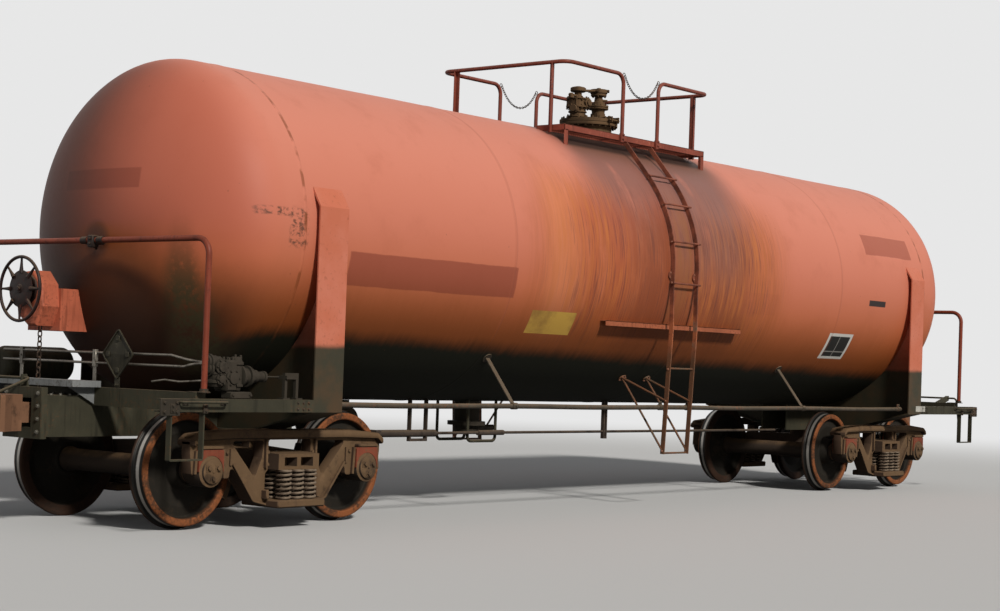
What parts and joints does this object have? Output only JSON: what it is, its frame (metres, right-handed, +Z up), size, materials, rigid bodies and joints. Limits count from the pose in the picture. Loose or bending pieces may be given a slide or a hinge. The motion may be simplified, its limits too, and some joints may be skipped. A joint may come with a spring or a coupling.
{
  "type": "railway tank car",
  "caption": "Railway tank car: dished steel tank on stub sills and bolsters, top platform with railing and valves, side ladders, end rails, swivelling trucks with turning wheelsets.",
  "frame": {"origin": "on the ground plane under the middle of the car, where the wheel flanges touch", "axes": "+X along the car away from the hand-brake end, +Y to the far side, +Z up"},
  "size_m": [14.96, 3.099, 4.4714],
  "materials": {
    "tank_paint": "faded salmon-red paint with rust streaks and dark grime below",
    "valve_metal": "oily olive-brown grime",
    "platform_steel": "red-brown paint, rusted",
    "railing_pipe": "red-brown paint, worn",
    "chain_steel": "dark rusty links",
    "ladder_steel": "rusted red-brown paint",
    "bolster_paint": "salmon paint above, grey-green grime below",
    "frame_steel": "grey-green grime over black paint",
    "coupler_cast": "rusty brown casting",
    "brake_paint": "bright red-orange paint",
    "brake_wheel_steel": "black paint",
    "valve_block_cast": "dusty grey casting",
    "air_pipe_steel": "dull pale steel pipe",
    "brake_rod_steel": "dark dirty steel",
    "placard_plate": "blank grey plate",
    "truck_cast": "brown brake dust on a casting",
    "spring_steel": "dusty brown spring steel",
    "adapter_cast": "red primer casting, dusty",
    "brake_beam_steel": "dark brown steel",
    "axle_steel": "dusty brown forging",
    "wheel_steel": "rusty rim with a bright worn tread"
  },
  "bodies": {
    "car_body": {"tank_shell": "tank_paint", "manway_nozzle": "valve_metal", "manway_cover": "valve_metal", "loading_valves": "valve_metal", "top_platform": "platform_steel", "top_railing": "railing_pipe", "gate_chains": "chain_steel", "ladder_stiles": "ladder_steel", "ladder_rungs": "ladder_steel", "ladder_braces": "ladder_steel", "side_angles": "platform_steel", "body_bolsters": "bolster_paint", "stub_sills": "frame_steel", "couplers": "coupler_cast", "coupler_knuckles": "coupler_cast", "side_sills": "frame_steel", "end_beams": "frame_steel", "sill_steps": "frame_steel", "grab_irons": "railing_pipe", "end_handrails": "railing_pipe", "side_handrails": "frame_steel", "hand_brake_bracket": "brake_paint", "hand_brake_housing": "brake_paint", "hand_brake_wheel": "brake_wheel_steel", "hand_brake_chain": "chain_steel", "brake_step": "frame_steel", "control_valve": "valve_block_cast", "air_reservoir": "frame_steel", "air_pipes": "air_pipe_steel", "brake_cylinder": "frame_steel", "brake_rods": "brake_rod_steel", "release_rod": "valve_block_cast", "uncoupling_levers": "frame_steel", "outlet_valve": "valve_block_cast", "outlet_guard": "frame_steel", "placard_holders": "placard_plate"},
    "truck_a": {"side_frames_a": "truck_cast", "truck_bolster_a": "truck_cast", "springs_a": "spring_steel", "bearing_adapters_a": "adapter_cast", "brake_beams_a": "brake_beam_steel"},
    "truck_b": {"side_frames_b": "truck_cast", "truck_bolster_b": "truck_cast", "springs_b": "spring_steel", "bearing_adapters_b": "adapter_cast", "brake_beams_b": "brake_beam_steel"},
    "wheelset_1": {"axle_1": "axle_steel", "wheels_1": "wheel_steel"},
    "wheelset_2": {"axle_2": "axle_steel", "wheels_2": "wheel_steel"},
    "wheelset_3": {"axle_3": "axle_steel", "wheels_3": "wheel_steel"},
    "wheelset_4": {"axle_4": "axle_steel", "wheels_4": "wheel_steel"}
  },
  "joints": [
    {"name": "truck_a_swivel", "type": "hinge", "parent": "car_body", "child": "truck_a", "pos_m": [-5.182, 0, 0.6794], "axis": [0, 0, 1], "range_deg": [-8, 8]},
    {"name": "truck_b_swivel", "type": "hinge", "parent": "car_body", "child": "truck_b", "pos_m": [5.182, 0, 0.6794], "axis": [0, 0, 1], "range_deg": [-8, 8]},
    {"name": "wheelset_1_spin", "type": "hinge", "parent": "truck_a", "child": "wheelset_1", "pos_m": [-6.071, 0, 0.4826], "axis": [0, 1, 0], "continuous": true},
    {"name": "wheelset_2_spin", "type": "hinge", "parent": "truck_a", "child": "wheelset_2", "pos_m": [-4.293, 0, 0.4826], "axis": [0, 1, 0], "continuous": true},
    {"name": "wheelset_3_spin", "type": "hinge", "parent": "truck_b", "child": "wheelset_3", "pos_m": [4.293, 0, 0.4826], "axis": [0, 1, 0], "continuous": true},
    {"name": "wheelset_4_spin", "type": "hinge", "parent": "truck_b", "child": "wheelset_4", "pos_m": [6.071, 0, 0.4826], "axis": [0, 1, 0], "continuous": true}
  ]
}
